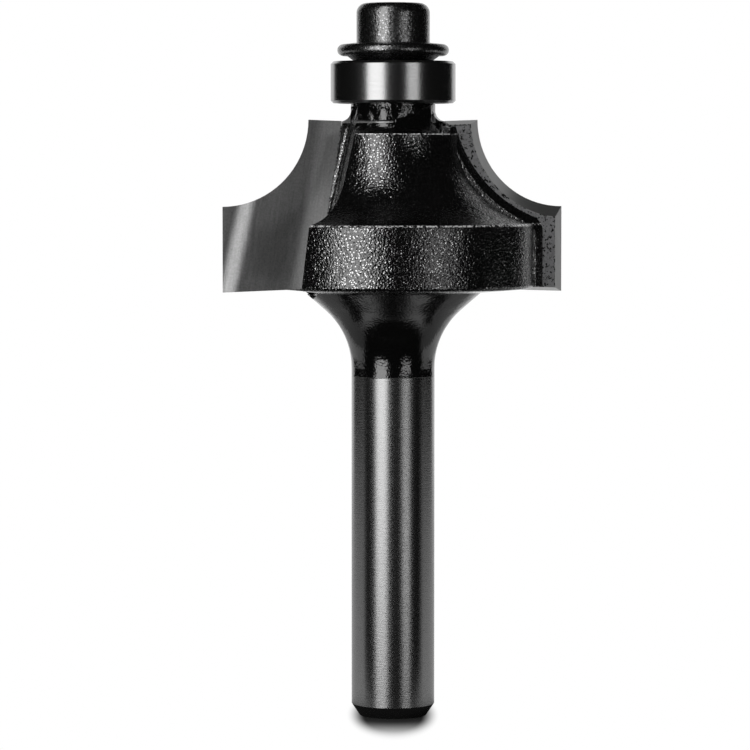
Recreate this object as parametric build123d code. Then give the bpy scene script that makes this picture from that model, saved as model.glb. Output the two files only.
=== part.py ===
from build123d import *
import math
import os

# Router bit, quarter-round cutting profile, right-hand cut, with a ball bearing pilot.
# Millimetres. +Z runs along the axis from the free end of the shank to the bearing,
# and the origin is the centre of the shank's end face.

# Shank and flare
shank_diameter = 6.35
shank_length = 26.7
shank_chamfer_width = 0.6
shank_chamfer_height = 0.9
flare_radius = 5.85
flare_slope = 41.0
flare_top_radius = 6.78
underside_slope = 5.0

# Cutting profile: a quarter round between the minor and the cutting radius
flute_count = 2
cutting_radius = 13.07
minor_radius = 6.47
cutter_height = 13.11
cutter_drop = 0.34

# Turned body, set back from the cutting profile
band_step = 2.33
band_bottom_round = 0.3
band_top_chamfer = 0.15
rim_step = 1.42
lobe_cove_extra = 0.35
lobe_height = 11.70
neck_radius = 3.22
neck_height = 2.32
neck_fillet = 1.25

# Carbide: the face is turned by the hook angle from the radius to the cutting edge
edge_angle = 188.0
hook_angle = 3.0
carbide_thickness = 1.4
carbide_inner_width = 3.86
carbide_inner_slant = 9.0
end_dish = 2.0
flank_angle = 30.8
end_relief_angle = 13.0
braze_gap = 0.08
braze_inset = 0.1
seat_margin = 0.2

# Steel wing behind each cutter, smaller than the carbide so that only carbide is ground
wing_thickness = 0.6
wing_flank_angle = 48.0
wing_outer_step = 1.84
wing_cove_shift = 1.32
wing_cove_rise = 2.19
wing_cove_extra = 3.71
wing_corner_round = 1.2
wing_end_step = 0.5
wing_bottom_step = 0.4
wing_root = 2.4
wing_back_chamfer = 1.5

# Web left between the neck and the top of a wing
web_fillet = 0.8
web_step = 0.12
web_radius = 4.05

# Chip gullet, laid out in the plane square to the axis at the top of the cutters
gullet_root = 2.99
gullet_tilt = 13.0
gullet_floor_angle = 5.0
gullet_floor_end = 5.85
gullet_wall_angle = 48.0
gullet_root_round = 0.5
gullet_wall_round = 5.0
gullet_above = 1.0
gullet_below = 3.5
gullet_reach = 16.0

# Bearing, 3/16 x 3/8 x 1/8 inch
bearing_bore = 4.7625
bearing_diameter = 9.525
bearing_width = 3.175
ball_count = 8
ball_diameter = 1.5875
ball_pitch_diameter = 7.144
inner_land_diameter = 6.0
outer_land_diameter = 8.3
race_conformity = 0.52
race_clearance = 0.01
race_chamfer = 0.2
shield_thickness = 0.15
shield_recess = 0.15
shield_lip = 0.15
shield_gap = 0.09
cage_inner_radius = 3.2
cage_outer_radius = 3.95
cage_bottom = -1.12
cage_top = 0.45
pocket_clearance = 0.05

# Pilot post and retaining screw
post_clearance = 0.006
post_below_bearing_face = 0.15
post_chamfer = 0.15
screw_diameter = 3.0
screw_length = 10.0
screw_head_diameter = 5.58
screw_head_height = 3.0
screw_head_round = 0.75
screw_tip_chamfer = 0.3
hex_across_flats = 2.5
hex_depth = 1.6
thread_clearance = 0.01
hole_extra_depth = 1.0
drill_point_angle = 118.0

# Flanged washer under the screw head
washer_bore_clearance = 0.1
washer_boss_height = 0.42
washer_boss_radius = 2.95
washer_neck_step = 0.57
washer_flange_step = 1.3
washer_flange_thickness = 0.88
washer_dome = 0.12


def slope(angle):
    return math.tan(math.radians(angle))


def direction(angle):
    return Vector(math.cos(math.radians(angle)), math.sin(math.radians(angle)), 0)


# Derived sizes of the turned body
band_radius = cutting_radius - band_step
lobe_rim_radius = minor_radius - rim_step
lobe_cove_radius = cutting_radius - minor_radius + lobe_cove_extra
flare_turn = math.radians(90 - flare_slope)
flare_centre = shank_diameter / 2 + flare_radius
flare_end = (
    flare_centre - flare_radius * math.cos(flare_turn),
    shank_length + flare_radius * math.sin(flare_turn),
)
flare_top = (
    flare_top_radius,
    flare_end[1] + (flare_top_radius - flare_end[0]) * slope(flare_slope),
)

# Derived heights
band_bottom = flare_top[1] + (band_radius - flare_top_radius) * slope(underside_slope)
lobe_top = band_bottom + lobe_height
seat_height = lobe_top + neck_height
cutter_bottom = band_bottom - cutter_drop
cutter_top = cutter_bottom + cutter_height
bearing_mid = seat_height + bearing_width / 2
bearing_top = seat_height + bearing_width
flange_bottom = bearing_top + washer_boss_height
flange_top = flange_bottom + washer_flange_thickness
head_bottom = flange_top + washer_dome
head_top = head_bottom + screw_head_height

# Derived depths behind the cutting face
face_offset = cutting_radius * math.sin(math.radians(hook_angle))
carbide_drop = carbide_thickness * slope(flank_angle)
carbide_end_drop = carbide_thickness * slope(end_relief_angle)
seat_depth = carbide_thickness + braze_gap
wing_depth = seat_depth + wing_thickness
groove_radius = race_conformity * ball_diameter

face_angle = edge_angle + hook_angle
outward = direction(face_angle)
forward = direction(face_angle + 90)


def face_plane(depth):
    """The cutter's face plane moved back by depth: local x runs outward, local y up the axis."""
    origin = forward * -(face_offset + depth)
    return Plane(origin=origin, x_dir=outward, z_dir=forward * -1)


def on_face(radius):
    """How far out a point of the cutting edge lies along the face."""
    return math.sqrt(radius**2 - face_offset**2)


def circle_through(first, second, third):
    """Centre and radius of the circle through three points."""
    (ax, ay), (bx, by), (cx, cy) = first, second, third
    twice_area = 2 * (ax * (by - cy) + bx * (cy - ay) + cx * (ay - by))
    a, b, c = ax**2 + ay**2, bx**2 + by**2, cx**2 + cy**2
    x = (a * (by - cy) + b * (cy - ay) + c * (ay - by)) / twice_area
    y = (a * (cx - bx) + b * (ax - cx) + c * (bx - ax)) / twice_area
    return (x, y), math.hypot(ax - x, ay - y)


def edge_point(angle):
    """A point of the concave cutting edge, which cuts a true circle as the bit turns."""
    radius = cutting_radius - minor_radius
    turned = cutting_radius - radius * math.cos(math.radians(angle))
    return on_face(turned), cutter_top - radius * math.sin(math.radians(angle))


cove_centre, cove_radius = circle_through(edge_point(0), edge_point(45), edge_point(90))
wing_centre = (cove_centre[0] + wing_cove_shift, cove_centre[1] + wing_cove_rise)


def inner_edge(height, width=carbide_inner_width):
    """How far out the slanted inner edge of a cutter lies at a height."""
    return width + (cutter_top - height) * slope(carbide_inner_slant)


def cove_edges(centre, radius, outer, top, bottom):
    """The concave part of a profile and the straight outside below it, with the cove's two ends."""
    start = (centre[0] - math.sqrt(radius**2 - (top - centre[1]) ** 2), top)
    end = (outer, centre[1] - math.sqrt(radius**2 - (outer - centre[0]) ** 2))
    first = math.atan2(start[1] - centre[1], start[0] - centre[0]) % math.tau
    last = math.atan2(end[1] - centre[1], end[0] - centre[0]) % math.tau
    turn = (first + last) / 2
    middle = (centre[0] + radius * math.cos(turn), centre[1] + radius * math.sin(turn))
    return [ThreePointArc(start, middle, end), Line(end, (outer, bottom))], start, end


def cutter_outline(drop, end_drop, inner_width=carbide_inner_width):
    """The cutting profile in a face plane, with the cove and the outside moved in by drop."""
    outer = on_face(cutting_radius) - drop
    top = cutter_top - end_drop
    bottom = cutter_bottom + end_drop
    edges, cove_start, cove_end = cove_edges(cove_centre, cove_radius + drop, outer, top, bottom)
    inner_top = top - (cove_start[0] - inner_width) * slope(end_dish)
    inner_bottom = bottom + (outer - inner_edge(bottom, inner_width)) * slope(end_dish)
    upper = (inner_edge(inner_top, inner_width), inner_top)
    lower = (inner_edge(inner_bottom, inner_width), inner_bottom)
    outline = [Line(upper, cove_start), *edges, Line((outer, bottom), lower), Line(lower, upper)]
    return make_face(Curve() + outline)


def make_cutter():
    """Carbide tip: its sides fall away behind the cutting edge."""
    front = face_plane(0) * cutter_outline(0, 0)
    back = face_plane(carbide_thickness) * cutter_outline(carbide_drop, carbide_end_drop)
    return loft([front, back], ruled=True)


def make_braze(cutter):
    """Solder behind the tip and along its inner edge, just short of the tip's other edges."""
    outline = cutter_outline(
        carbide_drop + braze_inset, carbide_end_drop + braze_inset, carbide_inner_width - braze_gap
    )
    return extrude(face_plane(0) * outline, seat_depth) - cutter


def wing_outline(drop):
    """Outline of the steel wing, which leaves the edges of the carbide proud all round."""
    outer = on_face(cutting_radius) - wing_outer_step - drop
    top = cutter_top - wing_end_step - drop * slope(end_relief_angle)
    bottom = cutter_bottom + wing_bottom_step
    radius = cove_radius + wing_cove_extra + drop
    edges, cove_start, corner = cove_edges(wing_centre, radius, outer, top, bottom)
    inside = [Line((outer, bottom), (wing_root, bottom)), Line((wing_root, bottom), (wing_root, top))]
    outline = make_face(Curve() + [Line((wing_root, top), cove_start), *edges, *inside])
    rounded = outline.vertices().sort_by_distance((*corner, 0))[0]
    return fillet(rounded, wing_corner_round)


def neck_arc(radius, height):
    """Concave fillet from a level ring at a height up into the neck, with its two ends."""
    start = (neck_radius + radius, height)
    end = (neck_radius, height + radius)
    reach = radius * (1 - math.sqrt(0.5))
    middle = (neck_radius + reach, height + reach)
    return ThreePointArc(start, middle, end), start, end


def make_web():
    """Ring that is left between the neck and the wings, filleted into the neck."""
    height = cutter_top - web_step
    foot = lobe_top - web_fillet
    arc, start, end = neck_arc(web_fillet, height)
    outline = [
        Polyline((0, foot), (web_radius, foot), (web_radius, height), start),
        arc,
        Polyline(end, (0, end[1]), (0, foot)),
    ]
    return revolve(Plane.XZ * make_face(Curve() + outline), Axis.Z)


def make_wing():
    """Steel that backs a cutter, with the part of the web that joins it to the neck."""
    drop = wing_thickness * slope(wing_flank_angle)
    front = face_plane(seat_depth) * wing_outline(0)
    back = face_plane(wing_depth) * wing_outline(drop)
    wing = loft([front, back], ruled=True)
    wing += extrude(face_plane(0) * wing_outline(0), seat_depth)
    plan = [
        (wing_root, 0),
        (gullet_reach, 0),
        (gullet_reach, -wing_depth),
        (wing_root + wing_back_chamfer, -wing_depth),
        (wing_root, wing_back_chamfer - wing_depth),
    ]
    level = Plane(
        origin=forward * -face_offset + Vector(0, 0, cutter_bottom), x_dir=outward, z_dir=(0, 0, 1)
    )
    room = extrude(level * make_face(Polyline(plan, close=True)), seat_height - cutter_bottom)
    return (wing + make_web()) & room


def make_seat():
    """Pocket that takes the carbide and its solder, open to the gullet and the outside."""
    high = cutter_top + seat_margin
    low = cutter_bottom - seat_margin
    width = carbide_inner_width - braze_gap
    outline = [
        (inner_edge(high, width), high),
        (gullet_reach, high),
        (gullet_reach, low),
        (inner_edge(low, width), low),
    ]
    pocket = face_plane(-seat_margin) * make_face(Polyline(outline, close=True))
    return extrude(pocket, seat_depth + seat_margin)


def make_gullet():
    """Chip space in front of a cutter, cut along a line that leans out towards the shank."""
    floor_end = (gullet_root + gullet_floor_end * slope(gullet_floor_angle), gullet_floor_end)
    wall_rise = gullet_reach - gullet_floor_end
    wall_end = (floor_end[0] + wall_rise * slope(gullet_wall_angle), gullet_reach)
    corners = [(gullet_root, 0), floor_end, wall_end, (2 * gullet_reach, gullet_reach)]
    corners.append((2 * gullet_reach, 0))
    outline = make_face(Polyline(corners, close=True))
    root = outline.vertices().sort_by_distance((gullet_root, 0, 0))[0]
    outline = fillet(root, gullet_root_round)
    bend = outline.vertices().sort_by_distance((*floor_end, 0))[0]
    outline = fillet(bend, gullet_wall_round)
    bottom = band_bottom - gullet_below
    top = cutter_top + gullet_above
    lean = outward * slope(gullet_tilt)
    start = forward * -face_offset + lean * (cutter_top - bottom)
    plane = Plane(origin=start + Vector(0, 0, bottom), x_dir=outward, z_dir=(0, 0, 1))
    path = Vector(0, 0, 1) - lean
    return extrude(plane * outline, (top - bottom) * path.length, dir=path)


def make_blank():
    """The turned blank: shank, flare, band, cove, neck and pilot post."""
    shank = shank_diameter / 2
    flare_middle = (
        flare_centre - flare_radius * math.cos(flare_turn / 2),
        shank_length + flare_radius * math.sin(flare_turn / 2),
    )
    cove_x = lobe_rim_radius + lobe_cove_radius
    edges, rim, cove_foot = cove_edges(
        (cove_x, lobe_top), lobe_cove_radius, band_radius, lobe_top, band_bottom
    )
    neck, neck_start, neck_end = neck_arc(neck_fillet, lobe_top)
    post = bearing_bore / 2 - post_clearance
    post_top = bearing_top - post_below_bearing_face
    outline = [
        Polyline(
            (0, 0),
            (shank - shank_chamfer_width, 0),
            (shank, shank_chamfer_height),
            (shank, shank_length),
        ),
        ThreePointArc((shank, shank_length), flare_middle, flare_end),
        Polyline(flare_end, flare_top, (band_radius, band_bottom)),
        *edges,
        Line(rim, neck_start),
        neck,
        Polyline(
            neck_end,
            (neck_radius, seat_height),
            (post, seat_height),
            (post, post_top - post_chamfer),
            (post - post_chamfer, post_top),
            (0, post_top),
            (0, 0),
        ),
    ]
    profile = make_face(Curve() + outline)
    low_corner = profile.vertices().sort_by_distance((band_radius, band_bottom, 0))[0]
    profile = fillet(low_corner, band_bottom_round)
    high_corner = profile.vertices().sort_by_distance((*cove_foot, 0))[0]
    profile = chamfer(high_corner, band_top_chamfer)
    return revolve(Plane.XZ * profile, Axis.Z)


def make_tapped_hole():
    """Blind hole for the retaining screw, with the drill's cone at its bottom."""
    radius = screw_diameter / 2 + thread_clearance
    bottom = head_bottom - screw_length - hole_extra_depth
    cone = radius / slope(drill_point_angle / 2)
    outline = [(0, bottom - cone), (radius, bottom), (radius, bearing_top), (0, bearing_top)]
    return revolve(Plane.XZ * make_face(Polyline(outline, close=True)), Axis.Z)


def around(piece, index, count):
    return Rot(0, 0, 360 * index / count) * piece


def make_body():
    body = make_blank()
    wing, gullet, seat = make_wing(), make_gullet(), make_seat()
    for index in range(flute_count):
        body += around(wing, index, flute_count)
    for index in range(flute_count):
        body -= around(gullet, index, flute_count)
        body -= around(seat, index, flute_count)
    return body - make_tapped_hole()


def make_race(inner_radius, outer_radius, groove_x):
    """A plain ring with a raceway whose section is centred at groove_x."""
    ring = Pos((inner_radius + outer_radius) / 2, 0) * Rectangle(
        outer_radius - inner_radius, bearing_width
    )
    return ring - Pos(groove_x, 0) * Circle(groove_radius)


def make_inner_race():
    bottom = (ball_pitch_diameter - ball_diameter) / 2 - race_clearance
    section = make_race(bearing_bore / 2, inner_land_diameter / 2, bottom + groove_radius)
    corners = section.vertices().group_by(Axis.X)[0]
    section = chamfer(corners, race_chamfer / 2)
    return Pos(0, 0, bearing_mid) * revolve(Plane.XZ * section, Axis.Z)


def make_outer_race():
    bottom = (ball_pitch_diameter + ball_diameter) / 2 + race_clearance
    section = make_race(outer_land_diameter / 2, bearing_diameter / 2, bottom - groove_radius)
    corners = section.vertices().group_by(Axis.X)[-1]
    section = chamfer(corners, race_chamfer)
    step_depth = shield_recess + shield_thickness
    step = Rectangle(2 * shield_lip, 2 * step_depth)
    for side in (-1, 1):
        section -= Pos(outer_land_diameter / 2, side * bearing_width / 2) * step
    return Pos(0, 0, bearing_mid) * revolve(Plane.XZ * section, Axis.Z)


def make_shield(side):
    """Thin shield pressed into the outer race, clear of the inner race."""
    inner = inner_land_diameter / 2 + shield_gap
    outer = outer_land_diameter / 2 + shield_lip
    height = bearing_width / 2 - shield_recess - shield_thickness / 2
    section = Pos((inner + outer) / 2, side * height) * Rectangle(outer - inner, shield_thickness)
    return Pos(0, 0, bearing_mid) * revolve(Plane.XZ * section, Axis.Z)


def ball_place(index):
    angle = 360 * (index + 0.5) / ball_count
    return Pos(0, 0, bearing_mid) * Rot(0, 0, angle) * Pos(ball_pitch_diameter / 2, 0, 0)


def make_cage():
    """Crown cage: a ring with open round pockets that snap over the balls."""
    width = cage_outer_radius - cage_inner_radius
    height = cage_top - cage_bottom
    middle = ((cage_inner_radius + cage_outer_radius) / 2, (cage_top + cage_bottom) / 2)
    cage = revolve(Plane.XZ * (Pos(*middle) * Rectangle(width, height)), Axis.Z)
    cage = Pos(0, 0, bearing_mid) * cage
    for index in range(ball_count):
        pocket = Cylinder(ball_diameter / 2 + pocket_clearance, 2 * width)
        cage -= ball_place(index) * Rot(0, 90, 0) * pocket
    return cage


def make_washer():
    """Flanged washer: a small boss bears on the inner race, the flange covers the bearing."""
    bore = screw_diameter / 2 + washer_bore_clearance
    half = washer_flange_thickness / 2
    head_edge = screw_head_diameter / 2
    neck = washer_boss_radius + washer_neck_step
    rim = washer_boss_radius + washer_flange_step - half
    outline = [
        Polyline(
            (bore, bearing_top),
            (washer_boss_radius, bearing_top),
            (neck, flange_bottom),
            (rim, flange_bottom),
        ),
        ThreePointArc((rim, flange_bottom), (rim + half, flange_bottom + half), (rim, flange_top)),
        Polyline((rim, flange_top), (head_edge, head_bottom), (bore, head_bottom)),
        Line((bore, head_bottom), (bore, bearing_top)),
    ]
    return revolve(Plane.XZ * make_face(Curve() + outline), Axis.Z)


def make_screw():
    """Socket head cap screw that clamps the washer and the inner race."""
    head = screw_head_diameter / 2
    shank = screw_diameter / 2
    tip = head_bottom - screw_length
    outline = [
        (0, tip),
        (shank - screw_tip_chamfer, tip),
        (shank, tip + screw_tip_chamfer),
        (shank, head_bottom),
        (head, head_bottom),
        (head, head_top),
        (0, head_top),
    ]
    profile = make_face(Polyline(outline, close=True))
    corner = profile.vertices().sort_by_distance((head, head_top, 0))[0]
    profile = fillet(corner, screw_head_round)
    screw = revolve(Plane.XZ * profile, Axis.Z)
    hexagon = RegularPolygon(hex_across_flats / 2, 6, major_radius=False)
    return screw - extrude(Pos(0, 0, head_top) * hexagon, -hex_depth)


def build():
    parts = {"bit_body": make_body()}
    cutter = make_cutter()
    braze = make_braze(cutter)
    for index in range(flute_count):
        parts[f"cutter_{index + 1}"] = around(cutter, index, flute_count)
        parts[f"braze_{index + 1}"] = around(braze, index, flute_count)
    parts["bearing_inner_race"] = make_inner_race()
    parts["bearing_outer_race"] = make_outer_race()
    parts["bearing_shield_lower"] = make_shield(-1)
    parts["bearing_shield_upper"] = make_shield(1)
    parts["bearing_cage"] = make_cage()
    for index in range(ball_count):
        parts[f"bearing_ball_{index + 1}"] = ball_place(index) * Sphere(ball_diameter / 2)
    parts["bearing_washer"] = make_washer()
    parts["cap_screw"] = make_screw()
    return parts


os.makedirs("parts", exist_ok=True)
for name, piece in build().items():
    export_step(piece, f"parts/{name}.step")
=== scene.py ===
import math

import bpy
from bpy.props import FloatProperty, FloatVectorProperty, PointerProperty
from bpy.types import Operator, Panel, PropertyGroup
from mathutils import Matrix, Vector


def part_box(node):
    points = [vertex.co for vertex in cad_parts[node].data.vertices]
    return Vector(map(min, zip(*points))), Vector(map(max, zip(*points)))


bl_info = {
    "name": "Router Bit Finishes",
    "version": (1, 0, 0),
    "blender": (4, 5, 0),
    "location": "3D View > Sidebar > Router Bit",
    "description": "Finishes for a router bit with a bearing pilot, and its studio",
    "category": "Object",
}

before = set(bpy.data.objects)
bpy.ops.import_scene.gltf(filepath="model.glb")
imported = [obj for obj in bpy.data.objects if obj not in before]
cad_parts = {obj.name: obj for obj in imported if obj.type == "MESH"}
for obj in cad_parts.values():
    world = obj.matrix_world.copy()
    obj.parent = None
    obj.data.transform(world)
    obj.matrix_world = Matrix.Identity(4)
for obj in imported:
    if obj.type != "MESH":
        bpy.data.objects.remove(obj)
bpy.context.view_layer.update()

MM = 0.001
PER_METRE = 1000.0
WHITE = (1.0, 1.0, 1.0)
# Pale grey of the painted rim highlights and glints on the enamel
HIGHLIGHT_GREY = (0.5, 0.5, 0.5)
ENAMEL_IOR = 1.75

BODY = "bit_body"
CUTTERS = ("cutter_1", "cutter_2")
SOLDER = ("braze_1", "braze_2")
RINGS = ("bearing_inner_race", "bearing_outer_race")
SHIELDS = ("bearing_shield_lower", "bearing_shield_upper")
CAGE = "bearing_cage"
BALLS = tuple(f"bearing_ball_{number}" for number in range(1, 9))
RETAINERS = ("bearing_washer", "cap_screw")

# Places on the bit and widths of its edges, in millimetres; the cutters' ends come from the CAD
BAND_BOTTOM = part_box("cutter_1")[0].z / MM
CUTTER_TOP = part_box("cutter_1")[1].z / MM
BAND_WIDTH = 5.18
BAND_TOP = BAND_BOTTOM + BAND_WIDTH
BAND_RIM_RADIUS = 10.2
LOBE_DROP = 1.08
LOBE_TOP = CUTTER_TOP - LOBE_DROP
LOBE_RIM_RADIUS = 4.85
RIM_WIDTHS = (0.05, 0.09)
RIM_FADE = 0.1
LIP_WIDTH = 0.25
LIP_BOTTOM = CUTTER_TOP - LIP_WIDTH
LIP_RADIUS = 3.24
LIP_SIDE = -1.2
LIP_FADE = 0.03
PAINT_WAVE = 0.18
PAINT_EDGE = 0.012
PAINT_COAT = 0.08

# The face of a cutter: two slanted lines, each with the drop in radius for a millimetre of height
# and the radii at the floor between which it fades (a painted highlight at the seam, a raised land
# at the land), and the heights between which it darkens as painted shade
SEAM_SLOPE = 0.172
SEAM_FADE = (12.9, 13.8)
LAND_SLOPE = 0.214
LAND_FADE = (18.6, 20.7)
LAND_HEIGHT = 0.46
FACE_HEIGHTS = (37.0, 45.0)

# The stage in metres, with azimuths in degrees, counted from the camera towards the right
FLOOR_RADIUS = 3.0
FLOOR_SIDES = 96
CARD_RADIUS = 0.2
CARD_STEPS = 32
CARD_BOTTOM = -0.2
GREY_BOTTOM = -0.06
CARD_TOP = 0.45
LAMP_RADIUS = 0.19
# Each has a name, azimuths, heights, and the setting for its brightness with a share of it
FLAGS = (
    ("dark_card", (-138, 138), (0.0, CARD_TOP), "dark", 1.0),
    ("dark_front", (-85, 85), (CARD_BOTTOM, 0.0), "dark", 1.0),
    ("grey_left", (-165, -85), (GREY_BOTTOM, 0.0), "grey", 1.0),
    ("low_left", (-165, -85), (CARD_BOTTOM, GREY_BOTTOM), "grey", 0.4),
    ("grey_right", (85, 165), (GREY_BOTTOM, 0.0), "grey", 1.0),
    ("low_right", (85, 165), (CARD_BOTTOM, GREY_BOTTOM), "grey", 0.4),
    ("dark_back", (138, 222), (0.15, CARD_TOP), "dark", 1.0),
)
LIDS = (("dark_base", CARD_BOTTOM), ("dark_lid", CARD_TOP))
LAMPS = (
    ("soft_box", (-48, -16), (-0.023, 0.41), "main_light", 1.0),
    ("side_panel", (25, 47), (0.042, 0.07), "side_light", 0.36),
    ("low_panel", (25, 47), (-0.023, 0.012), "side_light", 0.4),
)
SENSOR_MM = 36.0
CLIP_START = 0.01


def length(name, description, default):
    """A size in metres, shown in the scene's units."""
    return FloatProperty(
        name=name, description=description, default=default * MM, unit="LENGTH", precision=5
    )


def share(name, description, default):
    """A value from 0 to 1."""
    return FloatProperty(
        name=name, description=description, default=default, min=0.0, max=1.0, subtype="FACTOR"
    )


def colour(name, description, default):
    """A linear colour; a single number gives a grey."""
    if not isinstance(default, tuple):
        default = (default, default, default)
    return FloatVectorProperty(
        name=name, description=description, default=default, min=0.0, max=1.0, subtype="COLOR"
    )


class PaintSettings(PropertyGroup):
    """Black enamel on the head and the bare shank below it."""

    enamel: colour("Enamel", "Colour of the black enamel", 0.0012)
    enamel_gloss: share("Enamel roughness", "Roughness of the smooth enamel", 0.12)
    line_height: length("Paint line", "Height above the shank's end where the enamel stops", 26.07)
    pebble: length("Pebble size", "Size of the grains in the enamel on the head", 0.17)
    pebble_height: length("Pebble height", "How far the grains stand up", 0.046)
    shank: colour("Shank", "Colour of the ground steel shank", 0.255)
    shank_roughness: share("Shank roughness", "Roughness of the ground shank", 0.25)


class CutterSettings(PropertyGroup):
    """Carbide tips and the solder that holds them."""

    rake: colour("Face", "Colour of the ground face of the carbide", 0.24)
    flank: colour("Flank", "Colour of the relief ground behind the edge", 0.23)
    back: colour("Back", "Colour of the rough back of the carbide", 0.33)
    grind: length("Grind pitch", "Spacing of the grinding lines", 0.16)
    grind_slant: FloatProperty(
        name="Grind slant",
        description="Lean of the grinding lines from the bit's axis",
        default=math.radians(8.8),
        subtype="ANGLE",
    )
    solder: colour("Solder", "Colour of the silver solder", (0.26, 0.26, 0.265))


class BearingSettings(PropertyGroup):
    """Pilot bearing, washer and screw."""

    ring: colour("Rings", "Colour of the bearing's rings", 0.285)
    ring_roughness: share("Ring roughness", "Roughness of the ground rings", 0.2)
    oxide: colour("Black oxide", "Colour of the oxide on the washer and screw", 0.14)
    oxide_roughness: share("Oxide roughness", "Roughness of the black oxide", 0.26)
    oxide_grain: length("Oxide grain", "Size of the oxide's grain", 0.18)


class StudioSettings(PropertyGroup):
    """Floor, lamps and camera."""

    floor: colour("Floor", "Colour of the floor", 0.94)
    main_light: FloatProperty(
        name="Main light",
        description="Power of the soft box on the left",
        default=0.5,
        unit="POWER",
    )
    side_light: FloatProperty(
        name="Side light",
        description="Power that the panels on the right take shares of",
        default=0.045,
        unit="POWER",
    )
    sky: share("Sky", "Strength of the light from all round", 0.5)
    dark: share("Dark cards", "Brightness of the dark cards round and above the bit", 0.012)
    grey: share("Grey cards", "Brightness of the low cards at the sides", 0.6)
    distance: length("Camera distance", "From the bit's axis", 275.0)
    height: length("Camera height", "Above the floor", 42.95)
    aside: length("Camera offset", "Along the floor, to the right", -1.38)
    tilt: FloatProperty(
        name="Camera tilt",
        description="Down from level",
        default=math.radians(3.5),
        subtype="ANGLE",
    )
    lens: FloatProperty(
        name="Lens", description="Focal length in millimetres", default=172.8, unit="CAMERA"
    )


class Graph:
    """Adds and joins shader nodes in one node tree."""

    def __init__(self, tree):
        self.nodes = tree.nodes
        self.links = tree.links
        self.nodes.clear()

    def add(self, kind, inputs=None, **settings):
        node = self.nodes.new("ShaderNode" + kind)
        node.location = (-240 * (len(self.nodes) // 6), 260 * (len(self.nodes) % 6))
        for name, value in settings.items():
            setattr(node, name, value)
        for name, value in (inputs or {}).items():
            self.join(value, node.inputs[name])
        return node

    def join(self, value, socket):
        if isinstance(value, bpy.types.NodeSocket):
            self.links.new(value, socket)
        elif isinstance(value, (int, float)) or len(value) == len(socket.default_value):
            socket.default_value = value
        else:
            socket.default_value = (*value, 1.0)

    def math(self, operation, *values):
        return self.add("Math", dict(enumerate(values)), operation=operation).outputs[0]

    def times(self, first, *others):
        """The product of any number of values."""
        for other in others:
            first = self.math("MULTIPLY", first, other)
        return first

    def vector(self, operation, *values):
        node = self.add("VectorMath", dict(enumerate(values)), operation=operation)
        return node.outputs["Value" if operation in ("DOT_PRODUCT", "LENGTH") else "Vector"]

    def shaded(self, colour, factor):
        """A plain colour made lighter or darker by a factor."""
        node = self.add("VectorMath", {0: tuple(colour), "Scale": factor}, operation="SCALE")
        return node.outputs["Vector"]

    def fade(self, value, low, high, start=0.0, end=1.0):
        """Goes smoothly from start to end as value goes from low to high."""
        inputs = {
            "Value": value, "From Min": low, "From Max": high, "To Min": start, "To Max": end,
        }
        return self.add("MapRange", inputs, interpolation_type="SMOOTHSTEP").outputs[0]

    def mix(self, factor, first, second):
        """A grey or number between first and second."""
        return self.add("Mix", {0: factor, 2: first, 3: second}, data_type="FLOAT").outputs[0]

    def tint(self, factor, first, second):
        """A colour between first and second."""
        return self.add("Mix", {0: factor, 6: first, 7: second}, data_type="RGBA").outputs[2]

    def place(self):
        """The point on the piece, in millimetres."""
        spot = self.add("TexCoord").outputs["Object"]
        return self.vector("MULTIPLY", spot, (PER_METRE,) * 3)

    def split(self, vector):
        return self.add("SeparateXYZ", {0: vector}).outputs

    def join_xyz(self, x, y, z):
        return self.add("CombineXYZ", {0: x, 1: y, 2: z}).outputs[0]

    def radius(self, x, y):
        """Distance from the bit's axis."""
        return self.vector("LENGTH", self.join_xyz(x, y, 0.0))

    def noise(self, vector, scale, detail=2.0, roughness=0.5):
        inputs = {"Vector": vector, "Scale": scale, "Detail": detail, "Roughness": roughness}
        return self.add("TexNoise", inputs).outputs["Fac"]

    def rounds(self, place, fineness, drift):
        """Fine lines round the axis, which change slowly as they go round."""
        stretched = self.vector("MULTIPLY", place, (drift, drift, fineness))
        return self.noise(stretched, scale=1.0, detail=3.0)

    def cells(self, vector, scale, feature="F1"):
        inputs = {"Vector": vector, "Scale": scale}
        return self.add("TexVoronoi", inputs, feature=feature).outputs["Distance"]

    def bump(self, height, distance):
        inputs = {"Height": height, "Distance": distance, "Strength": 1.0}
        return self.add("Bump", inputs).outputs[0]


class Finish(Graph):
    """A node material under construction."""

    def __init__(self, name):
        self.material = bpy.data.materials.new(name)
        self.material.use_nodes = True
        super().__init__(self.material.node_tree)
        self.output = self.add("OutputMaterial")

    def surface(self, shader):
        """Makes a shader the surface, and gives the material."""
        self.links.new(shader.outputs[0], self.output.inputs["Surface"])
        return self.material

    def solid(self, inputs):
        """Makes the surface from the inputs of one principled shader."""
        return self.surface(self.add("BsdfPrincipled", inputs))


def give(material, *names):
    """Puts one material on whole CAD nodes."""
    for name in names:
        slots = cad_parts[name].data.materials
        slots.clear()
        slots.append(material)


def per_mm(size, number=1.0):
    """How many grains of a size in metres fit along a millimetre, or that times a number."""
    return number / (size / MM)


def rim(finish, z, radius, height, inner):
    """A thin line round a rim at a height, outside an inner radius: a painted highlight on the
    sharp edge.
    """
    off = finish.math("ABSOLUTE", finish.math("SUBTRACT", z, height))
    line = finish.fade(off, *RIM_WIDTHS, start=1.0, end=0.0)
    return finish.times(line, finish.fade(radius, inner, inner + RIM_FADE))


def ground_lip(finish, place, radius):
    """The lip of bare ground steel at the top of each wing, beside its cutter."""
    x, y, z = finish.split(place)
    side = finish.times(y, finish.math("SIGN", x))
    return finish.times(
        finish.fade(z, LIP_BOTTOM - LIP_FADE, LIP_BOTTOM),
        finish.fade(radius, LIP_RADIUS, LIP_RADIUS + LIP_FADE),
        finish.fade(side, LIP_SIDE - LIP_FADE, LIP_SIDE),
    )


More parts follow.
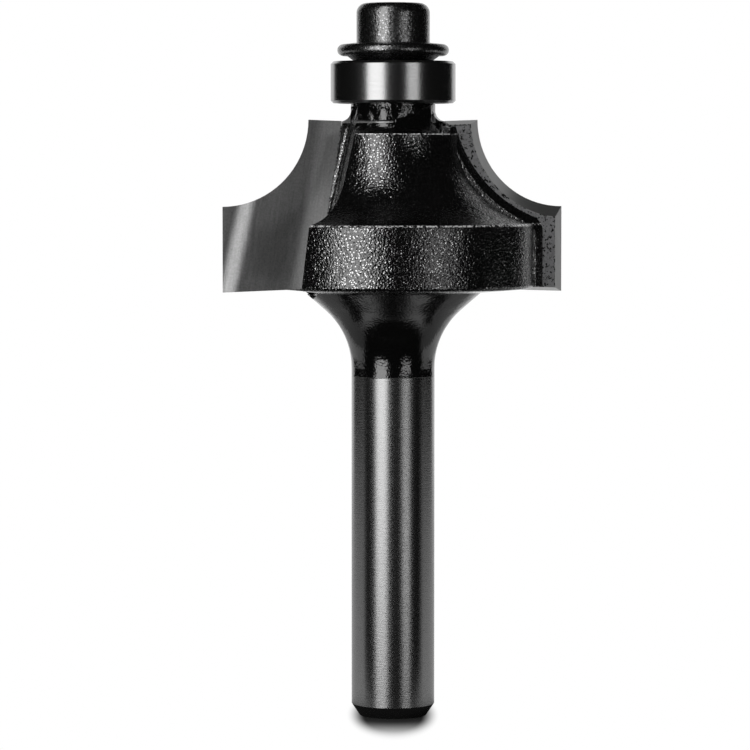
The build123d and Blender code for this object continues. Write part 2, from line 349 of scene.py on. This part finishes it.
def enamel_height(finish, place, z, settings):
    """Height of the coat: pebbled on the head, smoother on the lobe and rippled up the neck."""
    pebbles = finish.noise(place, per_mm(settings.pebble), detail=1.5)
    fine = finish.cells(place, per_mm(settings.pebble, 1.3), "SMOOTH_F1")
    pebbles = finish.math("SUBTRACT", pebbles, finish.times(fine, 0.3))
    on_head = finish.times(
        finish.fade(z, BAND_BOTTOM - 0.1, BAND_BOTTOM + 0.35, start=0.3, end=1.0),
        finish.fade(z, LOBE_TOP + 0.1, LOBE_TOP + 0.4, start=1.0, end=0.6),
    )
    relief = finish.times(pebbles, settings.pebble_height / MM, on_head)
    ripple = finish.times(
        finish.noise(place, 0.8, detail=1.0),
        finish.fade(z, CUTTER_TOP - 1.4, CUTTER_TOP, start=0.04, end=0.3),
    )
    return finish.math("ADD", finish.math("ADD", relief, ripple), PAINT_COAT)


def enamel_and_shank(settings):
    """Bare ground steel below the paint line, black enamel above it, pebbled on the head, with
    painted highlights on its rims and painted glints on the head.
    """
    finish = Finish("painted_body")
    place = finish.place()
    x, y, z = finish.split(place)
    radius = finish.radius(x, y)
    wave = finish.times(finish.noise(place, 0.9), PAINT_WAVE)
    line = finish.math("ADD", settings.line_height / MM - PAINT_WAVE / 2, wave)
    painted = finish.fade(finish.math("SUBTRACT", z, line), -PAINT_EDGE, PAINT_EDGE)
    ground = ground_lip(finish, place, radius)
    painted = finish.times(painted, finish.math("SUBTRACT", 1.0, ground))

    # Painted highlight: a pale line round the band's top rim and the lobe's rim stands in for the
    # glint of rounded edges.
    rims = finish.math(
        "MAXIMUM",
        rim(finish, z, radius, BAND_TOP, BAND_RIM_RADIUS),
        rim(finish, z, radius, LOBE_TOP, LOBE_RIM_RADIUS),
    )
    # Noise breaks the painted rim highlight into dots.
    dotting = finish.fade(finish.noise(place, 5.0), 0.42, 0.6, start=0.0, end=0.9)
    painted_highlight = finish.times(rims, dotting)
    # Painted glints: pale metallic flecks at the grain centres on the head stand in for the
    # sparkle of the pebbled enamel.
    from_centre = finish.cells(place, per_mm(settings.pebble))
    glint = finish.times(
        finish.fade(from_centre, 0.24, 0.38, start=0.8, end=0.0),
        finish.fade(z, BAND_BOTTOM - 0.1, BAND_BOTTOM + 0.2),
        finish.fade(z, LOBE_TOP, LOBE_TOP + 0.3, start=1.0, end=0.0),
    )
    # The rim lines and the glints, both painted highlights, are tinted towards the pale grey; the
    # enamel is not worn through there.
    bare = finish.math("MAXIMUM", painted_highlight, glint)
    enamel = finish.tint(bare, tuple(settings.enamel), HIGHLIGHT_GREY)

    turned = finish.rounds(place, fineness=22.0, drift=1.3)
    grain = finish.noise(place, 7.0, detail=3.0, roughness=0.7)
    shade = finish.mix(finish.mix(0.5, turned, grain), 0.72, 1.22)
    coat = enamel_height(finish, place, z, settings)
    roughness = settings.shank_roughness
    return finish.solid({
        "Base Color": finish.tint(painted, finish.shaded(settings.shank, shade), enamel),
        "Metallic": finish.mix(
            painted, finish.mix(ground, 1.0, 0.5), finish.fade(glint, 0.0, 0.15)
        ),
        "IOR": ENAMEL_IOR,
        "Roughness": finish.mix(
            painted, finish.mix(grain, roughness - 0.08, roughness + 0.1), settings.enamel_gloss
        ),
        "Normal": finish.bump(finish.mix(painted, finish.times(turned, 0.006), coat), MM),
    })


def face_grey(finish, z, radius, across, grain, streaks):
    """Shade of a cutter's face: streaked, with painted shade darker towards the top and a painted
    highlight along its inner edge by the solder.
    """
    broad = finish.noise(finish.join_xyz(across, finish.times(z, 0.02), 3.0), 0.7, detail=1.0)
    seam = finish.math("MULTIPLY_ADD", z, SEAM_SLOPE, radius)
    return finish.times(
        finish.mix(finish.mix(0.5, grain, streaks), 0.35, 1.65),
        finish.mix(broad, 0.85, 1.15),
        # Painted shade: the face darkens towards the top.
        finish.fade(z, *FACE_HEIGHTS, start=1.05, end=0.72),
        # Painted highlight: the face is paler along its inner edge.
        finish.fade(seam, *SEAM_FADE, start=1.8, end=1.0),
    )


def carbide(settings):
    """Dark ground face with slanted grinding lines, pale relief behind the edge, rough back."""
    finish = Finish("carbide")
    place = finish.place()
    x, y, z = finish.split(place)
    round_axis = finish.vector("NORMALIZE", finish.join_xyz(finish.times(y, -1.0), x, 0.0))
    normal = finish.add("TexCoord").outputs["Normal"]
    facing = finish.vector("DOT_PRODUCT", normal, round_axis)
    on_face = finish.fade(facing, 0.6, 0.75)
    on_back = finish.fade(facing, -0.6, -0.75)

    radius = finish.radius(x, y)
    slant = settings.grind_slant
    across = finish.math(
        "ADD", finish.times(radius, math.cos(slant)), finish.times(z, math.sin(slant))
    )
    lines = finish.join_xyz(across, finish.times(z, 0.06), 0.0)
    streaks = finish.noise(lines, per_mm(settings.grind), detail=4.0, roughness=0.7)
    grain = finish.noise(place, 7.0, detail=2.0, roughness=0.6)
    grey = face_grey(finish, z, radius, across, grain, streaks)
    face = finish.shaded(settings.rake, grey)
    flank = finish.shaded(settings.flank, finish.mix(grain, 0.9, 1.1))
    specks = finish.fade(finish.noise(place, 3.6, detail=3.0, roughness=0.65), 0.5, 0.58)
    back = finish.tint(specks, tuple(settings.back), (0.02, 0.02, 0.02))

    land = finish.fade(
        finish.math("MULTIPLY_ADD", z, LAND_SLOPE, radius), *LAND_FADE, start=LAND_HEIGHT, end=0.0
    )
    height = finish.math("MULTIPLY_ADD", streaks, 0.007, land)
    height = finish.mix(on_face, finish.times(grain, 0.001), height)
    height = finish.mix(on_back, height, finish.times(specks, 0.02))
    return finish.solid({
        "Base Color": finish.tint(on_back, finish.tint(on_face, flank, face), back),
        "Metallic": 0.85,
        "Roughness": finish.mix(on_back, finish.mix(streaks, 0.25, 0.4), 0.5),
        "Normal": finish.bump(height, MM),
    })


def solder(settings):
    """Dull silver solder, pitted where the flux came off."""
    finish = Finish("solder")
    place = finish.place()
    lumps = finish.noise(place, 3.0, detail=3.0, roughness=0.6)
    pits = finish.fade(finish.noise(place, 4.5, detail=3.0, roughness=0.6), 0.54, 0.62)
    pale = finish.shaded(settings.solder, finish.mix(lumps, 0.5, 1.6))
    return finish.solid({
        "Base Color": finish.tint(pits, pale, (0.008, 0.008, 0.008)),
        "Metallic": 0.9,
        "Roughness": finish.mix(lumps, 0.3, 0.6),
        "Normal": finish.bump(lumps, 0.06 * MM),
    })


def ground_ring(settings):
    """Bearing steel with fine grinding lines round the axis."""
    finish = Finish("bearing_steel")
    place = finish.place()
    lines = finish.rounds(place, fineness=30.0, drift=0.8)
    grain = finish.noise(place, 8.0, detail=3.0, roughness=0.7)
    shade = finish.mix(finish.mix(0.5, lines, grain), 0.75, 1.2)
    roughness = settings.ring_roughness
    return finish.solid({
        "Base Color": finish.shaded(settings.ring, shade),
        "Metallic": 1.0,
        "Roughness": finish.mix(grain, roughness - 0.06, roughness + 0.08),
        "Normal": finish.bump(finish.math("ADD", grain, lines), 0.0025 * MM),
    })


def black_oxide(settings):
    """Oxide over a blasted surface: dark and grainy, with pale metallic spots painted on as
    sparkle highlights.
    """
    finish = Finish("black_oxide")
    place = finish.place()
    grains = per_mm(settings.oxide_grain)
    grain = finish.noise(place, grains, detail=1.5)
    clouds = finish.noise(place, 0.7)
    # Painted highlight: pale spots round the grain centres, in patches, stand in for the oxide's
    # sparkle.
    sparkle = finish.fade(finish.cells(place, grains), 0.2, 0.4, start=1.0, end=0.0)
    painted_highlight = finish.times(sparkle, finish.mix(clouds, 0.4, 1.0))
    roughness = settings.oxide_roughness
    return finish.solid({
        "Base Color": finish.tint(painted_highlight, tuple(settings.oxide), (0.4, 0.4, 0.41)),
        "Metallic": 1.0,
        "Roughness": finish.mix(grain, roughness - 0.1, roughness + 0.14),
        "Normal": finish.bump(grain, 0.025 * MM),
    })


def polished_ball():
    """Polished ball steel with faint haze."""
    finish = Finish("ball_steel")
    haze = finish.noise(finish.place(), 3.0)
    return finish.solid({
        "Base Color": (0.6, 0.6, 0.61),
        "Metallic": 1.0,
        "Roughness": finish.mix(haze, 0.06, 0.16),
    })


def pressed_sheet():
    """Bright pressed steel of the shields and the cage."""
    finish = Finish("shield")
    grain = finish.noise(finish.place(), 5.0, detail=3.0)
    return finish.solid({
        "Base Color": finish.tint(grain, (0.32, 0.32, 0.33), (0.5, 0.5, 0.51)),
        "Metallic": 1.0,
        "Roughness": finish.mix(grain, 0.28, 0.45),
        "Normal": finish.bump(grain, 0.004 * MM),
    })


class ROUTERBIT_OT_body(Operator):
    """Enamel the head and leave the shank bare"""

    bl_idname = "routerbit.body"
    bl_label = "Body"

    def execute(self, context):
        give(enamel_and_shank(context.scene.routerbit_paint), BODY)
        return {"FINISHED"}


class ROUTERBIT_OT_cutters(Operator):
    """Finish the carbide tips and their solder"""

    bl_idname = "routerbit.cutters"
    bl_label = "Cutters"

    def execute(self, context):
        settings = context.scene.routerbit_cutters
        give(carbide(settings), *CUTTERS)
        give(solder(settings), *SOLDER)
        return {"FINISHED"}


class ROUTERBIT_OT_bearing(Operator):
    """Finish the rings, balls, cage and shields of the bearing"""

    bl_idname = "routerbit.bearing"
    bl_label = "Bearing"

    def execute(self, context):
        give(ground_ring(context.scene.routerbit_bearing), *RINGS)
        give(polished_ball(), *BALLS)
        give(pressed_sheet(), CAGE, *SHIELDS)
        return {"FINISHED"}


class ROUTERBIT_OT_retainers(Operator):
    """Finish the washer and the cap screw"""

    bl_idname = "routerbit.retainers"
    bl_label = "Washer and screw"

    def execute(self, context):
        give(black_oxide(context.scene.routerbit_bearing), *RETAINERS)
        return {"FINISHED"}


def white_world(strength):
    """White wherever it is seen or mirrored, and a plain soft light on everything."""
    world = bpy.data.worlds.new("studio")
    bpy.context.scene.world = world
    world.use_nodes = True
    graph = Graph(world.node_tree)
    path = graph.add("LightPath").outputs
    seen = graph.math("MAXIMUM", path["Is Camera Ray"], path["Is Glossy Ray"])
    seen = graph.math("MAXIMUM", seen, path["Is Transmission Ray"])
    level = graph.math("MAXIMUM", seen, strength)
    sky = graph.add("Background", {"Color": WHITE, "Strength": level})
    output = graph.add("OutputWorld")
    graph.links.new(sky.outputs[0], output.inputs["Surface"])


def add_floor(settings):
    """White floor that keeps the shadow at the bit's foot, deepened there by painted shadow, and
    is as white as the sky beyond it.
    """
    bpy.ops.mesh.primitive_circle_add(vertices=FLOOR_SIDES, radius=FLOOR_RADIUS, fill_type="NGON")
    floor = bpy.context.object
    floor.name = "floor"
    finish = Finish("floor")
    place = finish.place()
    path = finish.add("LightPath").outputs
    foot = finish.vector("LENGTH", finish.vector("MULTIPLY", place, (3.6, 1.0, 0.0)))
    near = finish.fade(foot, 8.0, 13.0, start=1.0, end=0.0)
    seen = finish.times(path["Is Camera Ray"], finish.math("SUBTRACT", 1.0, near))
    beside = finish.vector("LENGTH", finish.vector("MULTIPLY", place, (0.25, 1.0, 0.0)))
    mirrored = finish.times(path["Is Glossy Ray"], finish.fade(beside, 3.5, 9.0))
    # Painted shadow: the floor's colour darkens towards the bit's foot.
    shade = finish.fade(finish.vector("LENGTH", place), 3.5, 12.0, start=0.03, end=1.0)
    lit = finish.add("BsdfDiffuse", {"Color": finish.shaded(settings.floor, shade)})
    white = finish.add("Emission", {"Color": WHITE, "Strength": 1.0})
    clear = finish.add("BsdfTransparent", {"Color": WHITE})
    blend = finish.add("MixShader", {0: seen, 1: lit.outputs[0], 2: white.outputs[0]})
    blend = finish.add("MixShader", {0: mirrored, 1: blend.outputs[0], 2: clear.outputs[0]})
    floor.data.materials.append(finish.surface(blend))


def add_lamp(name, azimuths, heights, power):
    """A soft upright rectangle between two azimuths, which faces the axis."""
    start, end = (math.radians(azimuth) for azimuth in azimuths)
    low, high = heights
    half = (end - start) / 2
    data = bpy.data.lights.new(name, "AREA")
    data.shape = "RECTANGLE"
    data.size = 2 * LAMP_RADIUS * math.tan(half)
    data.size_y = high - low
    data.energy = power
    lamp = bpy.data.objects.new(name, data)
    bpy.context.scene.collection.objects.link(lamp)
    turn = start + half
    lamp.location = (
        math.sin(turn) * LAMP_RADIUS, -math.cos(turn) * LAMP_RADIUS, (low + high) / 2
    )
    lamp.rotation_euler = (math.pi / 2, 0.0, turn)
    lamp.visible_camera = False


def add_card(name, verts, faces, level):
    """A card that only reflections see."""
    mesh = bpy.data.meshes.new(name)
    mesh.from_pydata(verts, [], faces)
    card = bpy.data.objects.new(name, mesh)
    bpy.context.scene.collection.objects.link(card)
    finish = Finish(name)
    glow = finish.add("Emission", {"Color": (level, level, level), "Strength": 1.0})
    mesh.materials.append(finish.surface(glow))
    card.visible_camera = False
    card.visible_diffuse = False
    card.visible_shadow = False


def add_flag(name, azimuths, heights, level):
    """An upright card bent round the axis, between two azimuths."""
    start, end = azimuths
    verts = []
    for step in range(CARD_STEPS + 1):
        turn = math.radians(start + (end - start) * step / CARD_STEPS)
        for z in heights:
            verts.append((math.sin(turn) * CARD_RADIUS, -math.cos(turn) * CARD_RADIUS, z))
    faces = [(2 * step, 2 * step + 2, 2 * step + 3, 2 * step + 1) for step in range(CARD_STEPS)]
    add_card(name, verts, faces, level)


def add_lid(name, height, level):
    """A round level card."""
    turns = [math.tau * step / CARD_STEPS for step in range(CARD_STEPS)]
    verts = [
        (math.cos(turn) * CARD_RADIUS, math.sin(turn) * CARD_RADIUS, height) for turn in turns
    ]
    add_card(name, verts, [tuple(range(CARD_STEPS))], level)


def add_camera(settings):
    """Level with the head and tilted a little down."""
    data = bpy.data.cameras.new("camera")
    data.lens = settings.lens
    data.sensor_width = SENSOR_MM
    data.clip_start = CLIP_START
    camera = bpy.data.objects.new("camera", data)
    bpy.context.scene.collection.objects.link(camera)
    camera.location = (settings.aside, -settings.distance, settings.height)
    camera.rotation_euler = (math.pi / 2 - settings.tilt, 0.0, 0.0)
    bpy.context.scene.camera = camera


class ROUTERBIT_OT_stage(Operator):
    """Set up the floor, the lamps and the camera"""

    bl_idname = "routerbit.stage"
    bl_label = "Studio"

    def execute(self, context):
        settings = context.scene.routerbit_studio
        context.scene.view_settings.view_transform = "Standard"
        white_world(settings.sky)
        add_floor(settings)
        for name, azimuths, heights, setting, part in FLAGS:
            add_flag(name, azimuths, heights, getattr(settings, setting) * part)
        for name, height in LIDS:
            add_lid(name, height, settings.dark)
        for name, azimuths, heights, setting, part in LAMPS:
            add_lamp(name, azimuths, heights, getattr(settings, setting) * part)
        add_camera(settings)
        return {"FINISHED"}


class ROUTERBIT_PT_panel(Panel):
    """Lists the finishes and their settings"""

    bl_label = "Router Bit"
    bl_idname = "ROUTERBIT_PT_panel"
    bl_space_type = "VIEW_3D"
    bl_region_type = "UI"
    bl_category = "Router Bit"

    def draw(self, context):
        for operator, group in STEPS:
            box = self.layout.box()
            box.operator(operator.bl_idname)
            settings = getattr(context.scene, group)
            for name in settings.__annotations__:
                box.prop(settings, name)


GROUPS = {
    "routerbit_paint": PaintSettings,
    "routerbit_cutters": CutterSettings,
    "routerbit_bearing": BearingSettings,
    "routerbit_studio": StudioSettings,
}
STEPS = (
    (ROUTERBIT_OT_body, "routerbit_paint"),
    (ROUTERBIT_OT_cutters, "routerbit_cutters"),
    (ROUTERBIT_OT_bearing, "routerbit_bearing"),
    (ROUTERBIT_OT_retainers, "routerbit_bearing"),
    (ROUTERBIT_OT_stage, "routerbit_studio"),
)
CLASSES = (*GROUPS.values(), *(operator for operator, group in STEPS), ROUTERBIT_PT_panel)


def register():
    for item in CLASSES:
        bpy.utils.register_class(item)
    for name, group in GROUPS.items():
        setattr(bpy.types.Scene, name, PointerProperty(type=group))


def unregister():
    for name in GROUPS:
        delattr(bpy.types.Scene, name)
    for item in reversed(CLASSES):
        bpy.utils.unregister_class(item)


def main():
    register()
    bpy.ops.routerbit.body()
    bpy.ops.routerbit.cutters()
    bpy.ops.routerbit.bearing()
    bpy.ops.routerbit.retainers()
    bpy.ops.routerbit.stage()


if __name__ == "__main__":
    main()
